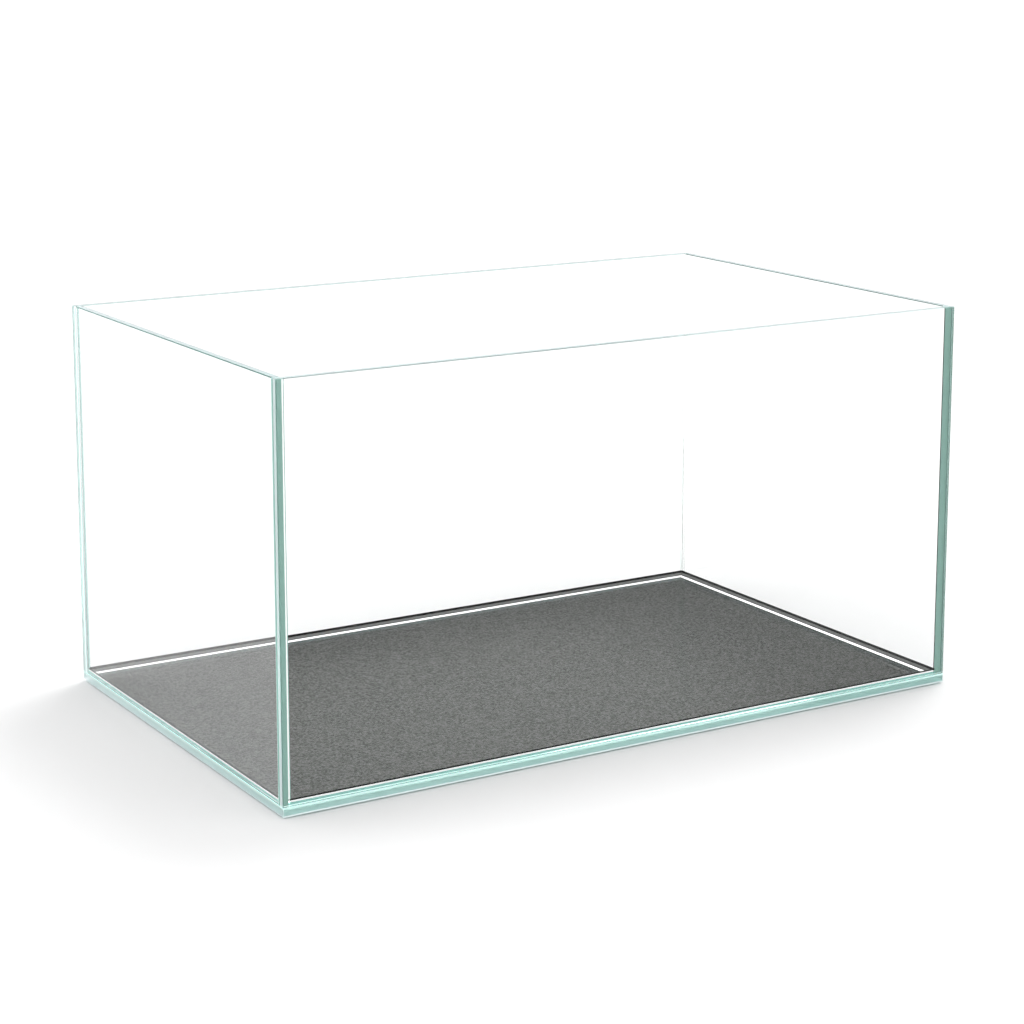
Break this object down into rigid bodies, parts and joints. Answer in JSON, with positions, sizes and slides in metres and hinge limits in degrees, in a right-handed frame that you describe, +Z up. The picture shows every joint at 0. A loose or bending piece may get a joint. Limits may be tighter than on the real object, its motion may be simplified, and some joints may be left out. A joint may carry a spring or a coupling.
{
  "type": "aquarium tank",
  "caption": "Rimless open-top rectangular glass aquarium tank, panes bonded edge to face with clear silicone, standing on a thin dark foam mat.",
  "frame": {"origin": "middle of the underside, on the surface that the tank stands on", "axes": "+X along the tank's width, +Y from the front pane to the back pane, +Z up"},
  "size_m": [0.6, 0.372, 0.313],
  "materials": {
    "float_glass": "low-iron float glass, polished faces, ground arrises, pale green-blue at the edges",
    "silicone": "clear acetoxy silicone, tooled smooth, slightly milky",
    "foam_mat": "dark grey closed-cell foam sheet, matt"
  },
  "bodies": {
    "root": {"base_pane": "float_glass", "front_pane": "float_glass", "back_pane": "float_glass", "left_pane": "float_glass", "right_pane": "float_glass", "seam_front_left": "silicone", "bead_corner_front_left": "silicone", "seam_front_right": "silicone", "bead_corner_front_right": "silicone", "seam_back_left": "silicone", "bead_corner_back_left": "silicone", "seam_back_right": "silicone", "bead_corner_back_right": "silicone", "seam_base_front": "silicone", "bead_base_front": "silicone", "seam_base_back": "silicone", "bead_base_back": "silicone", "seam_base_left": "silicone", "bead_base_left": "silicone", "seam_base_right": "silicone", "bead_base_right": "silicone", "base_mat": "foam_mat"}
  },
  "joints": []
}
